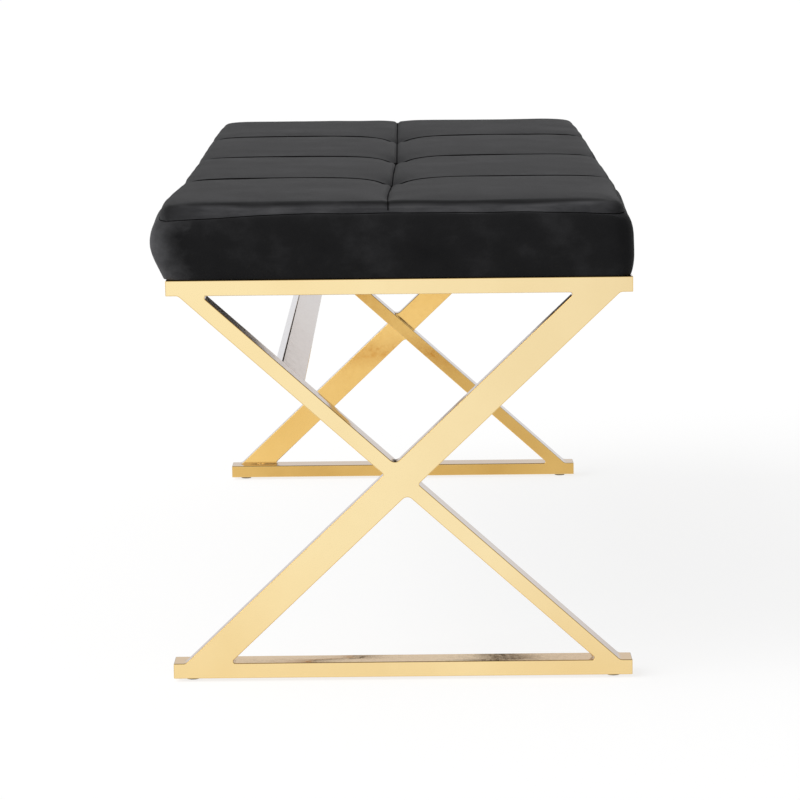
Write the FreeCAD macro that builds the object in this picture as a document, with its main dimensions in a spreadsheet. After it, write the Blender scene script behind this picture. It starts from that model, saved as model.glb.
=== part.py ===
import FreeCAD, Part
import math
import os
import Sketcher

# An entry bench: two welded X frames of rectangular tube, tied by one stretcher and by the seat.
# X runs across the bench, Y along it, Z up; the origin is on the floor under the middle.

DIMENSIONS = [
    # End frames, in millimetres
    ("frame_width", 450, "length of a rail, across the bench"),
    ("bench_length", 1100, "outer face to outer face of the two end frames"),
    ("frame_top", 396, "top of the top rail above the floor"),
    ("tube_wide", 30, "broad side of the tube"),
    ("tube_thin", 15, "thin side of the tube"),
    ("tube_wall", 1.5, "wall of the tube"),
    ("tube_corner", 1.5, "outer corner radius of the tube"),
    ("leg_inset", 12, "from a rail's end to where a leg's outer edge meets the rail"),
    ("weld_radius", 5, "radius of the ground weld fillets"),
    ("stretcher_offset", 146, "from the crossing to the stretcher, along the narrow leg"),
    # Glides
    ("pad_height", 3, "thickness of a glide's pad, which lifts the frame off the floor"),
    ("pad_radius", 7.5, "radius of the pad against the rail"),
    ("pad_taper", 1, "how much smaller the pad is on the floor"),
    ("foot_inset", 18, "from a rail's end to the glide's axis"),
    ("stem_radius", 3, "radius of the threaded stem"),
    ("stem_end_gap", 1.5, "from the stem's end to the rail's upper wall"),
    ("thread_gap", 0.1, "radial clearance of a thread in its bush or nut"),
    ("bush_radius", 5, "outer radius of the threaded bush"),
    ("bush_length", 7, "length of the threaded bush"),
    ("hole_gap", 0.4, "radial clearance of a drilled hole"),
    # Seat stack
    ("cover_wrap", 1.5, "thickness of the velvet turned in under the board"),
    ("wrap_return", 60, "width of the velvet turned in under the board"),
    ("board_thick", 15, "plywood seat board"),
    ("board_edge", 9.7, "from the seat bolts' axes to the board's ends"),
    ("foam_thick", 38, "foam core"),
    ("fit_gap", 0.3, "clearance of the board and foam in the cover, and of nuts in the board"),
    ("cover_wall", 4, "least wall of the padded cover at its long sides"),
    # Cushion form: heights above the foam core, widths from the rail's ends
    ("fill_crown", 24, "top of a panel"),
    ("fill_seam", 19.5, "cross seam between two rows of panels"),
    ("fill_tuft", 9.5, "bottom of a tuft, where the seams cross"),
    ("fill_edge", 8.5, "boxing seam round the cushion"),
    ("row_count", 4, "rows of panels along the bench"),
    ("edge_inset", 1, "from the rail's end to the cushion's bottom edge and boxing seam"),
    ("side_bulge", 9, "how far the long sides belly out beyond their edges"),
    ("end_bulge", 6, "how far the short sides belly out beyond their edges"),
    ("end_fall", 3.5, "how far the outer rows fall towards the ends"),
    ("seam_pinch", 4, "how far a cross seam draws the side in"),
    ("seam_drop", 5, "how far a cross seam draws the boxing seam down"),
    ("shoulder_run", 23, "width of the rolled shoulder along the long sides"),
    ("end_shoulder", 17, "width of the rolled shoulder along the short sides"),
    ("shoulder_fall", 4, "how far the shoulder lies under the panel's top"),
    ("channel_run", 18, "half width of the lengthwise channel at a panel"),
    ("channel_depth", 7, "depth of the lengthwise channel at a panel"),
    ("tuft_run", 70, "half width of the dip at a tuft"),
    ("corner_radius", 32, "upright corners of the cushion"),
    # Seat fasteners
    ("bolt_inset", 85, "from a top rail's end to the seat bolt's axis"),
    ("bolt_radius", 3, "shank of a seat bolt"),
    ("bolt_end_gap", 2.7, "from the bolt's end to the top of the board"),
    ("head_radius", 5.25, "head of a seat bolt"),
    ("head_height", 3.3, "head of a seat bolt"),
    ("socket_radius", 2.2, "hexagon socket of a seat bolt, across its corners, halved"),
    ("socket_depth", 1.8, "hexagon socket of a seat bolt"),
    ("washer_radius", 6.5, "washer under a bolt head"),
    ("washer_thick", 1.2, "washer under a bolt head"),
    ("nut_radius", 4, "barrel of a tee nut"),
    ("nut_length", 10, "barrel of a tee nut with its flange"),
    ("flange_radius", 7.5, "flange of a tee nut"),
    ("flange_thick", 1.5, "flange of a tee nut, let into the board"),
    # Tufting and underside
    ("tie_radius", 1.2, "tuft twine"),
    ("tie_bite", 5, "how far a tie is sewn up into the cover"),
    ("anchor_radius", 10, "washer that a tie is knotted to under the board"),
    ("anchor_thick", 1.2, "washer that a tie is knotted to under the board"),
    ("dust_thick", 1, "dust cover under the seat"),
    ("dust_margin", 12, "from the rail's end to the dust cover's long edge"),
    ("dust_gap", 3, "from the top rail to the dust cover's short edge"),
    ("staple_crown", 10, "length of a staple's crown"),
    ("staple_wire", 0.7, "staple wire"),
    ("staple_leg", 7, "length of a staple's legs"),
    ("staple_inset", 8, "from the dust cover's edge to the staples"),
    ("long_edge_count", 9, "staples along a long edge"),
    ("short_edge_count", 4, "staples along a short edge"),
]

ENDS = {"near": -1, "far": 1}
SIDES = {"left": -1, "right": 1}

# Curves of the cushion, as shares of the sizes above
ROW_LIFTS = (0, 0.9, 1, 0.9, 0)  # from one cross seam over the crown to the next, in quarters of a row
QUARTER_FALL = 1 / 3  # share of the end's fall that is left a quarter of a row in
RIM_SHARE = 1 / 6  # share of a dip's depth that lies above its rim
DIP_BOW = 1 / 3  # how full the flank of a dip is
SHOULDER_BOW = 1 / 7  # how full the shoulder is along the long sides
END_SHOULDER_BOW = 1 / 5  # how full the shoulder is along the short sides

# Derived sizes, as formulas on the sheet
RISE = "(Dims.frame_top - Dims.pad_height - 2 * Dims.tube_thin)"
RUN = "(Dims.frame_width - 2 * Dims.leg_inset)"
MIDDLE_Z = "(Dims.frame_top + Dims.pad_height) / 2"
RAIL_Y = "(Dims.bench_length - Dims.tube_wide) / 2"
WIDE_LEG_Y = "(Dims.bench_length - Dims.tube_thin) / 2"
FOOT_X = "(Dims.frame_width / 2 - Dims.foot_inset)"
RAIL_UNDERSIDE = "(Dims.frame_top - Dims.tube_thin)"
BORE_WIDE = "(Dims.tube_wide - 2 * Dims.tube_wall)"
BORE_THIN = "(Dims.tube_thin - 2 * Dims.tube_wall)"
BOARD_Z = "(Dims.frame_top + Dims.cover_wrap)"
FOAM_Z = "(Dims.frame_top + Dims.cover_wrap + Dims.board_thick)"
CAVITY_HEIGHT = "(Dims.board_thick + Dims.foam_thick)"
CAVITY_HALF_X = "(Dims.frame_width / 2 - Dims.edge_inset - Dims.seam_pinch - Dims.cover_wall)"
CAVITY_HALF_Y = f"({RAIL_Y} + Dims.board_edge + Dims.fit_gap)"

doc = FreeCAD.newDocument("entry_bench")
sheet = doc.addObject("Spreadsheet::Sheet", "Dims")
pieces = []


def fill_sheet():
    for row, (alias, value, meaning) in enumerate(DIMENSIONS, start=1):
        sheet.set(f"A{row}", meaning)
        sheet.set(f"B{row}", str(value))
        sheet.setAlias(f"B{row}", alias)
    doc.recompute()


def dim(alias):
    return float(sheet.get(alias))


def piece(obj):
    """Keep an object as one sub-part of the bench."""
    pieces.append(obj)
    return obj


def bind(obj, formulas):
    for name, formula in formulas.items():
        obj.setExpression(name, formula)


def place(obj, x="0", y="0", z="0", lean=None, axis=1):
    """Put an object at a point, leaning about the Y axis, taken along or against it."""
    if lean:
        obj.Placement.Rotation = FreeCAD.Rotation(FreeCAD.Vector(0, axis, 0), 1)
    bind(obj, {"Placement.Base.x": x, "Placement.Base.y": y, "Placement.Base.z": z})
    if lean:
        bind(obj, {"Placement.Rotation.Angle": lean})
    return obj


def box(label, length, width, height, x, y, z):
    """A block, centred on x and y, standing on z."""
    obj = doc.addObject("Part::Box", label)
    bind(obj, {"Length": length, "Width": width, "Height": height})
    return place(obj, f"{x} - ({length}) / 2", f"{y} - ({width}) / 2", z)


def cylinder(label, radius, height, x, y, z):
    obj = doc.addObject("Part::Cylinder", label)
    bind(obj, {"Radius": radius, "Height": height})
    return place(obj, x, y, z)


def compound(label, parts):
    obj = doc.addObject("Part::Compound", label)
    obj.Links = parts
    return obj


def cylinders(label, radius, height, points, z):
    """Equal cylinders, one on each point, as one object."""
    parts = [
        cylinder(f"{label}_{number}", radius, height, x, y, z)
        for number, (x, y) in enumerate(points, start=1)
    ]
    return compound(label, parts)


def boolean(kind, label, base, tool):
    obj = doc.addObject(f"Part::{kind}", label)
    obj.Base = base
    obj.Tool = tool
    return obj


def name_constraint(sketch, index, name, formula):
    sketch.renameConstraint(index, name)
    sketch.setExpression(f"Constraints.{name}", formula)


def rounded_rectangle(sketch, across, up, corner):
    """A rectangle with rounded corners, centred on the sketch's origin."""
    half_x, half_y, radius = dim(across) / 2, dim(up) / 2, dim(corner)
    turns = [(1, -1), (1, 1), (-1, 1), (-1, -1)]
    lines, arcs = [], []
    for number, (side_x, side_y) in enumerate(turns):
        before_x, before_y = turns[number - 1]
        pull_x = 0 if before_x == side_x else radius
        pull_y = radius if before_x == side_x else 0
        start = FreeCAD.Vector(before_x * (half_x - pull_x), before_y * (half_y - pull_y), 0)
        end = FreeCAD.Vector(side_x * (half_x - pull_x), side_y * (half_y - pull_y), 0)
        lines.append(sketch.addGeometry(Part.LineSegment(start, end)))
        centre = FreeCAD.Vector(side_x * (half_x - radius), side_y * (half_y - radius), 0)
        circle = Part.Circle(centre, FreeCAD.Vector(0, 0, 1), radius)
        first = (number - 1) * math.pi / 2
        arcs.append(sketch.addGeometry(Part.ArcOfCircle(circle, first, first + math.pi / 2)))
    for number in range(4):
        following = (number + 1) % 4
        sketch.addConstraint(Sketcher.Constraint("Tangent", lines[number], 2, arcs[number], 1))
        sketch.addConstraint(Sketcher.Constraint("Tangent", arcs[number], 2, lines[following], 1))
        level = "Horizontal" if number % 2 == 0 else "Vertical"
        sketch.addConstraint(Sketcher.Constraint(level, lines[number]))
    for number in range(3):
        sketch.addConstraint(Sketcher.Constraint("Equal", arcs[number], arcs[number + 1]))
    sketch.addConstraint(Sketcher.Constraint("Symmetric", arcs[0], 3, arcs[2], 3, -1, 1))
    radius_at = sketch.addConstraint(Sketcher.Constraint("Radius", arcs[0], radius))
    across_at = sketch.addConstraint(
        Sketcher.Constraint("DistanceX", lines[3], 1, lines[1], 1, 2 * half_x))
    up_at = sketch.addConstraint(
        Sketcher.Constraint("DistanceY", lines[0], 1, lines[2], 1, 2 * half_y))
    name_constraint(sketch, radius_at, "corner", f"Dims.{corner}")
    name_constraint(sketch, across_at, "across", f"Dims.{across}")
    name_constraint(sketch, up_at, "up", f"Dims.{up}")


def plain_rectangle(sketch, across, up, wall):
    """The bore of a tube: a plain rectangle inside its walls."""
    half_x, half_y = dim(across) / 2 - dim(wall), dim(up) / 2 - dim(wall)
    corners = [(-half_x, -half_y), (half_x, -half_y), (half_x, half_y), (-half_x, half_y)]
    points = [FreeCAD.Vector(x, y, 0) for x, y in corners]
    lines = [
        sketch.addGeometry(Part.LineSegment(points[number], points[(number + 1) % 4]))
        for number in range(4)
    ]
    for number in range(4):
        following = lines[(number + 1) % 4]
        sketch.addConstraint(Sketcher.Constraint("Coincident", lines[number], 2, following, 1))
        level = "Horizontal" if number % 2 == 0 else "Vertical"
        sketch.addConstraint(Sketcher.Constraint(level, lines[number]))
    sketch.addConstraint(Sketcher.Constraint("Symmetric", lines[0], 1, lines[2], 1, -1, 1))
    across_at = sketch.addConstraint(
        Sketcher.Constraint("DistanceX", lines[0], 1, lines[0], 2, 2 * half_x))
    up_at = sketch.addConstraint(
        Sketcher.Constraint("DistanceY", lines[1], 1, lines[1], 2, 2 * half_y))
    name_constraint(sketch, across_at, "bore_across", f"Dims.{across} - 2 * Dims.{wall}")
    name_constraint(sketch, up_at, "bore_up", f"Dims.{up} - 2 * Dims.{wall}")


def tube(label, plane, across, up, length):
    """A length of tube, centred on its origin, with its section on the given plane."""
    body = doc.addObject("PartDesign::Body", label)
    sketch = body.newObject("Sketcher::SketchObject", f"{label}_section")
    section_plane = next(item for item in body.Origin.OriginFeatures if item.Role == plane)
    sketch.AttachmentSupport = [(section_plane, "")]
    sketch.MapMode = "FlatFace"
    rounded_rectangle(sketch, across, up, "tube_corner")
    plain_rectangle(sketch, across, up, "tube_wall")
    pad = body.newObject("PartDesign::Pad", f"{label}_length")
    pad.Profile = sketch
    pad.SideType = "Symmetric"
    bind(pad, {"Length": length})
    return body


def lean_of(face):
    """Angle of a leg from the floor: its outer edges meet the rails at the inset from their ends."""
    return f"(atan2({RISE}; {RUN}) + asin(Dims.{face} / hypot({RUN}; {RISE})))"


def leg_length():
    """Long enough to pass both rails before the leg is mitred."""
    return f"hypot({RUN}; {RISE}) + 2 * Dims.tube_wide"


def bolt_points(ends):
    """Axes of the seat bolts, two in each top rail."""
    return [
        (f"{side} * (Dims.frame_width / 2 - Dims.bolt_inset)", f"{end} * {RAIL_Y}")
        for end in ends
        for side in SIDES.values()
    ]


def foot_points(end):
    return [(f"{side} * {FOOT_X}", f"{end} * {RAIL_Y}") for side in SIDES.values()]


def make_rails(name, end):
    """Top and bottom rail of one end frame, drilled for the seat bolts and the glides."""
    rail_y = f"{end} * {RAIL_Y}"
    top = tube(f"{name}_top_tube", "YZ_Plane", "tube_wide", "tube_thin", "Dims.frame_width")
    place(top, y=rail_y, z="Dims.frame_top - Dims.tube_thin / 2")
    bolt_hole = "Dims.bolt_radius + Dims.hole_gap"
    bolt_holes = cylinders(
        f"{name}_bolt_holes", bolt_hole, "Dims.tube_thin", bolt_points([end]), RAIL_UNDERSIDE)
    access_hole = "Dims.washer_radius + Dims.hole_gap"
    access_holes = cylinders(
        f"{name}_access_holes", access_hole, "Dims.tube_thin / 2", bolt_points([end]), RAIL_UNDERSIDE)
    drilled = boolean("Cut", f"{name}_drilled_top", top, bolt_holes)
    piece(boolean("Cut", f"{name}_top_rail", drilled, access_holes))

    bottom = tube(f"{name}_bottom_tube", "YZ_Plane", "tube_wide", "tube_thin", "Dims.frame_width")
    place(bottom, y=rail_y, z="Dims.pad_height + Dims.tube_thin / 2")
    stem_hole = "Dims.stem_radius + Dims.hole_gap"
    stem_holes = cylinders(
        f"{name}_stem_holes", stem_hole, "Dims.tube_thin / 2", foot_points(end), "Dims.pad_height")
    piece(boolean("Cut", f"{name}_bottom_rail", bottom, stem_holes))

    cap_x = "(Dims.frame_width - Dims.tube_wall) / 2"
    bore_floors = ["Dims.pad_height + Dims.tube_wall", f"{RAIL_UNDERSIDE} + Dims.tube_wall"]
    caps = [
        box(f"{name}_cap", "Dims.tube_wall", BORE_WIDE, BORE_THIN, f"{side} * {cap_x}", rail_y, floor)
        for floor in bore_floors
        for side in SIDES.values()
    ]
    piece(compound(f"{name}_rail_end_caps", caps))


def make_legs(name, end, between_rails):
    """The two legs: the narrow one is notched over the wide one where they cross."""
    wide_y = f"{end} * {WIDE_LEG_Y}"
    wide = tube(f"{name}_wide_tube", "YZ_Plane", "tube_thin", "tube_wide", leg_length())
    place(wide, y=wide_y, z=MIDDLE_Z, lean=lean_of("tube_wide"), axis=-1)
    piece(boolean("Common", f"{name}_wide_leg", wide, between_rails))

    narrow = tube(f"{name}_narrow_tube", "YZ_Plane", "tube_wide", "tube_thin", leg_length())
    place(narrow, y=f"{end} * {RAIL_Y}", z=MIDDLE_Z, lean=lean_of("tube_thin"))
    mitred = boolean("Common", f"{name}_narrow_mitred", narrow, between_rails)
    notch = doc.addObject("Part::Box", f"{name}_notch")
    bind(notch, {"Length": "4 * Dims.tube_wide", "Width": "Dims.tube_thin", "Height": "Dims.tube_wide"})
    lean = lean_of("tube_wide")
    back, down = "2 * Dims.tube_wide", "Dims.tube_wide / 2"
    place(
        notch,
        x=f"-{back} * cos({lean}) + {down} * sin({lean})",
        y=f"{wide_y} - Dims.tube_thin / 2",
        z=f"{MIDDLE_Z} - {back} * sin({lean}) - {down} * cos({lean})",
        lean=lean,
        axis=-1,
    )
    piece(boolean("Cut", f"{name}_narrow_leg", mitred, notch))


def lean_angle(face):
    """The same lean as lean_of, as a number in radians."""
    rise = dim("frame_top") - dim("pad_height") - 2 * dim("tube_thin")
    run = dim("frame_width") - 2 * dim("leg_inset")
    return math.atan2(rise, run) + math.asin(dim(face) / math.hypot(run, rise))


def leg_edges(face, rising):
    """A leg's two edges in the frame's plane: a point, the way up and the way out of each."""
    lean = lean_angle(face)
    up = FreeCAD.Vector(rising * math.cos(lean), 0, math.sin(lean))
    across = FreeCAD.Vector(math.sin(lean), 0, -rising * math.cos(lean))
    return [(across * (side * dim(face) / 2), up, across * side) for side in (-1, 1)]


def weld_fillet(corner, first, second, depth):
    """The filled corner between two straight edges, from the outer face inwards."""
    half_angle = first.getAngle(second) / 2
    radius = dim("weld_radius")
    reach = radius / math.tan(half_angle)
    bisector = (first + second).normalize()
    bottom = corner + bisector * (radius / math.sin(half_angle) - radius)
    start = corner + first * reach
    finish = corner + second * reach
    edges = [
        Part.LineSegment(corner, start).toShape(),
        Part.Arc(start, bottom, finish).toShape(),
        Part.LineSegment(finish, corner).toShape(),
    ]
    return Part.Face(Part.Wire(edges)).extrude(FreeCAD.Vector(0, depth, 0))


def make_welds(name, end):
    """Fillets at both ends of both legs and in the four corners of the crossing."""
    half_rise = (dim("frame_top") - dim("pad_height")) / 2 - dim("tube_thin")
    wide_edges = leg_edges("tube_wide", 1)
    narrow_edges = leg_edges("tube_thin", -1)
    depths = [(wide_edges, dim("tube_thin")), (narrow_edges, dim("tube_wide"))]
    fillets = []
    for edges, depth in depths:
        for point, up, out in edges:
            along_rail = FreeCAD.Vector(math.copysign(1, out.x), 0, 0)
            for level, along_leg in ((-half_rise, up), (half_rise, -up)):
                corner = point + up * ((level - point.z) / up.z)
                fillets.append(weld_fillet(corner, along_rail, along_leg, -end * depth))
    for wide_point, wide_up, wide_out in wide_edges:
        for narrow_point, narrow_up, narrow_out in narrow_edges:
            along_wide = wide_up * math.copysign(1, wide_up.dot(narrow_out))
            along_narrow = narrow_up * math.copysign(1, narrow_up.dot(wide_out))
            travel = (narrow_point - wide_point).dot(narrow_out) / wide_up.dot(narrow_out)
            corner = wide_point + wide_up * travel
            fillets.append(weld_fillet(corner, along_wide, along_narrow, -end * dim("tube_thin")))
    welds = doc.addObject("Part::Feature", f"{name}_weld_fillets")
    welds.Shape = Part.Compound(fillets)
    piece(place(welds, y=f"{end} * Dims.bench_length / 2", z=MIDDLE_Z))


def make_stretcher():
    """Runs between the inner faces of the narrow legs, square to them and as thick as they are."""
    lean = lean_of("tube_thin")
    bar = tube(
        "stretcher", "XZ_Plane", "tube_wide", "tube_thin", "Dims.bench_length - 2 * Dims.tube_wide")
    place(
        bar,
        x=f"-Dims.stretcher_offset * cos({lean})",
        z=f"{MIDDLE_Z} + Dims.stretcher_offset * sin({lean})",
        lean=lean,
    )
    piece(bar)


def make_glides(name, end):
    """A tapered pad and its threaded stem at each end of a bottom rail, with the bushes inside it."""
    for side_name, (x, y) in zip(SIDES, foot_points(end)):
        pad = doc.addObject("Part::Cone", f"{name}_{side_name}_glide_pad")
        floor_radius = "Dims.pad_radius - Dims.pad_taper"
        bind(pad, {"Radius1": floor_radius, "Radius2": "Dims.pad_radius", "Height": "Dims.pad_height"})
        piece(place(pad, x, y))
        stem_length = "Dims.tube_thin - Dims.tube_wall - Dims.stem_end_gap"
        stem_label = f"{name}_{side_name}_glide_stem"
        piece(cylinder(stem_label, "Dims.stem_radius", stem_length, x, y, "Dims.pad_height"))
    bush_z = "Dims.pad_height + Dims.tube_wall"
    thread = "Dims.stem_radius + Dims.thread_gap"
    outer = cylinders(
        f"{name}_bush_blanks", "Dims.bush_radius", "Dims.bush_length", foot_points(end), bush_z)
    bores = cylinders(f"{name}_bush_bores", thread, "Dims.bush_length", foot_points(end), bush_z)
    piece(boolean("Cut", f"{name}_glide_bushes", outer, bores))


def mix(at_seam, at_crown, lift):
    return at_seam + (at_crown - at_seam) * lift


def bowed_arc(start, end, bow):
    """An arc between two points that stands off its chord by bow, to the right of the way it runs."""
    chord = end - start
    out = FreeCAD.Vector(chord.z, 0, -chord.x).normalize()
    return Part.Arc(start, (start + end) * 0.5 + out * bow, end).toShape()


def cushion_outline(y, lift, fall):
    """Outline across the bench: lift is 0 on a cross seam and 1 on a crown, fall lowers the top."""
    base = dim("cover_wrap") + dim("board_thick") + dim("foam_thick")
    top = base + mix(dim("fill_seam"), dim("fill_crown"), lift) - fall
    edge_z = base + dim("fill_edge") - mix(dim("seam_drop"), 0, lift)
    bottom_x = dim("frame_width") / 2 - dim("edge_inset")
    edge_x = bottom_x - mix(dim("seam_pinch"), 0, lift)
    dip_x = mix(dim("tuft_run"), dim("channel_run"), lift)
    dip_z = top - mix(dim("fill_seam") - dim("fill_tuft"), dim("channel_depth"), lift)
    rim_z = top - (top - dip_z) * RIM_SHARE
    shoulder_x = edge_x - dim("shoulder_run")
    shoulder_z = top - dim("shoulder_fall")
    right = [
        FreeCAD.Vector(bottom_x, y, 0),
        FreeCAD.Vector(edge_x, y, edge_z),
        FreeCAD.Vector(shoulder_x, y, shoulder_z),
        FreeCAD.Vector(dip_x, y, rim_z),
        FreeCAD.Vector(0, y, dip_z),
    ]
    crown_bow = top - (shoulder_z + rim_z) / 2
    shoulder_bow = dim("shoulder_run") * SHOULDER_BOW
    bows = [dim("side_bulge"), shoulder_bow, crown_bow, (rim_z - dip_z) * DIP_BOW]
    left = [FreeCAD.Vector(-point.x, y, point.z) for point in reversed(right)]
    edges = [bowed_arc(right[i], right[i + 1], bows[i]) for i in range(4)]
    edges += [bowed_arc(left[i], left[i + 1], bows[3 - i]) for i in range(4)]
    edges.append(Part.LineSegment(left[-1], right[0]).toShape())
    return Part.Wire(edges)


def cushion_rows():
    """One loft for each row of panels, low on its cross seams; the outer rows run past the ends."""
    rows = int(dim("row_count"))
    pitch = dim("bench_length") / rows
    overrun = dim("end_bulge") + dim("edge_inset")
    fall = dim("end_fall")
    lofts = []
    for row in range(rows):
        start = -dim("bench_length") / 2 + row * pitch
        lifts = list(ROW_LIFTS)
        falls = [0] * len(lifts)
        places = [start + pitch * step / 4 for step in range(len(lifts))]
        if row == 0:
            lifts[:2] = [1, 1]
            falls[:2] = [fall, fall * QUARTER_FALL]
            places[0] -= overrun
        if row == rows - 1:
            lifts[-2:] = [1, 1]
            falls[-2:] = [fall * QUARTER_FALL, fall]
            places[-1] += overrun
        outlines = [cushion_outline(*station) for station in zip(places, lifts, falls)]
        lofts.append(Part.makeLoft(outlines, True, False))
    return lofts[0].multiFuse(lofts[1:])


def cushion_ends():
    """A bar across the bench with the cushion's outline seen from the side: bellied, rolled ends."""
    base = dim("cover_wrap") + dim("board_thick") + dim("foam_thick")
    half = dim("bench_length") / 2 - dim("edge_inset")
    brow = base + dim("fill_crown") - dim("end_fall")
    reach = dim("frame_width")
    side_points = [(half, 0), (half, base + dim("fill_edge")), (half - dim("end_shoulder"), brow)]
    far = [FreeCAD.Vector(y, 0, z) for y, z in side_points]
    near = [FreeCAD.Vector(-point.x, 0, point.z) for point in reversed(far)]
    bows = [dim("end_bulge"), dim("end_shoulder") * END_SHOULDER_BOW]
    above = FreeCAD.Vector(0, 0, dim("fill_crown"))
    edges = [
        bowed_arc(far[0], far[1], bows[0]),
        bowed_arc(far[1], far[2], bows[1]),
        Part.LineSegment(far[2], far[2] + above).toShape(),
        Part.LineSegment(far[2] + above, near[0] + above).toShape(),
        Part.LineSegment(near[0] + above, near[0]).toShape(),
        bowed_arc(near[0], near[1], bows[1]),
        bowed_arc(near[1], near[2], bows[0]),
        Part.LineSegment(near[2], far[0]).toShape(),
    ]
    bar = Part.Face(Part.Wire(edges)).extrude(FreeCAD.Vector(0, 2 * reach, 0))
    bar.translate(FreeCAD.Vector(0, -reach, 0))
    bar.rotate(FreeCAD.Vector(), FreeCAD.Vector(0, 0, 1), 90)
    return bar


def cushion_corners():
    """A tall block with the cushion's rounded upright corners."""
    wide = dim("frame_width") + 2 * (dim("side_bulge") + dim("edge_inset"))
    long = dim("bench_length") + 2 * (dim("end_bulge") + dim("edge_inset"))
    tall = dim("cover_wrap") + dim("board_thick") + dim("foam_thick") + 2 * dim("fill_crown")
    block = Part.makeBox(wide, long, tall, FreeCAD.Vector(-wide / 2, -long / 2, 0))
    upright = [edge for edge in block.Edges if abs(edge.tangentAt(edge.FirstParameter).z) > 0.5]
    return block.makeFillet(dim("corner_radius"), upright)


def tuft_points():
    """Where the lengthwise seam meets the cross seams."""
    rows = int(dim("row_count"))
    return [("0", f"Dims.bench_length * ({row} / {rows} - 0.5)") for row in range(1, rows)]


def make_cover():
    """The quilted velvet cover with its padding, hollow for the board and foam, open underneath."""
    form = doc.addObject("Part::Feature", "cushion_form")
    form.Shape = cushion_rows().common(cushion_ends()).common(cushion_corners())
    place(form, z="Dims.frame_top")
    cavity_x = f"2 * {CAVITY_HALF_X}"
    cavity_y = f"2 * {CAVITY_HALF_Y}"
    cavity = box("cover_cavity", cavity_x, cavity_y, CAVITY_HEIGHT, "0", "0", BOARD_Z)
    open_x = "Dims.frame_width - 2 * Dims.wrap_return"
    open_y = "Dims.bench_length - 2 * Dims.wrap_return"
    opening = box("cover_opening", open_x, open_y, "Dims.cover_wrap", "0", "0", "Dims.frame_top")
    bolt_hole = "Dims.bolt_radius + Dims.hole_gap"
    holes = cylinders(
        "cover_holes", bolt_hole, "Dims.cover_wrap", bolt_points(ENDS.values()), "Dims.frame_top")
    bites = cylinders(
        "cover_bites", "Dims.tie_radius", "Dims.tie_bite", tuft_points(), f"{FOAM_Z} + Dims.foam_thick")
    hollow = boolean("Cut", "hollow_cover", form, cavity)
    open_below = boolean("Cut", "open_cover", hollow, opening)
    bolted = boolean("Cut", "bolted_cover", open_below, holes)
    piece(boolean("Cut", "velvet_cover", bolted, bites))


def make_board():
    """Plywood, counterbored for the tee nuts and drilled for the tuft ties."""
    board = box(
        "board_blank", f"2 * ({CAVITY_HALF_X} - Dims.fit_gap)", f"2 * ({CAVITY_HALF_Y} - Dims.fit_gap)",
        "Dims.board_thick", "0", "0", BOARD_Z)
    points = bolt_points(ENDS.values())
    barrels = cylinders(
        "board_barrels", "Dims.nut_radius + Dims.fit_gap", "Dims.board_thick", points, BOARD_Z)
    recesses = cylinders(
        "board_recesses", "Dims.flange_radius + Dims.fit_gap", "Dims.flange_thick", points,
        f"{FOAM_Z} - Dims.flange_thick")
    ties = cylinders(
        "board_tie_holes", "Dims.tie_radius + Dims.fit_gap", "Dims.board_thick", tuft_points(), BOARD_Z)
    drilled = boolean("Cut", "drilled_board", board, barrels)
    recessed = boolean("Cut", "recessed_board", drilled, recesses)
    piece(boolean("Cut", "seat_board", recessed, ties))


def make_foam():
    blank = box(
        "foam_blank", f"2 * ({CAVITY_HALF_X} - Dims.fit_gap)", f"2 * ({CAVITY_HALF_Y} - Dims.fit_gap)",
        "Dims.foam_thick", "0", "0", FOAM_Z)
    ties = cylinders(
        "foam_tie_holes", "Dims.tie_radius + Dims.fit_gap", "Dims.foam_thick", tuft_points(), FOAM_Z)
    piece(boolean("Cut", "foam_core", blank, ties))


def make_ties():
    """Twine from each tuft down through the foam and board to a washer under the board."""
    low = f"{BOARD_Z} - Dims.anchor_thick"
    length = f"Dims.anchor_thick + {CAVITY_HEIGHT} + Dims.tie_bite"
    piece(cylinders("tuft_ties", "Dims.tie_radius", length, tuft_points(), low))
    discs = cylinders("anchor_discs", "Dims.anchor_radius", "Dims.anchor_thick", tuft_points(), low)
    eyes = cylinders(
        "anchor_eyes", "Dims.tie_radius + Dims.fit_gap", "Dims.anchor_thick", tuft_points(), low)
    piece(boolean("Cut", "tuft_anchors", discs, eyes))


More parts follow.
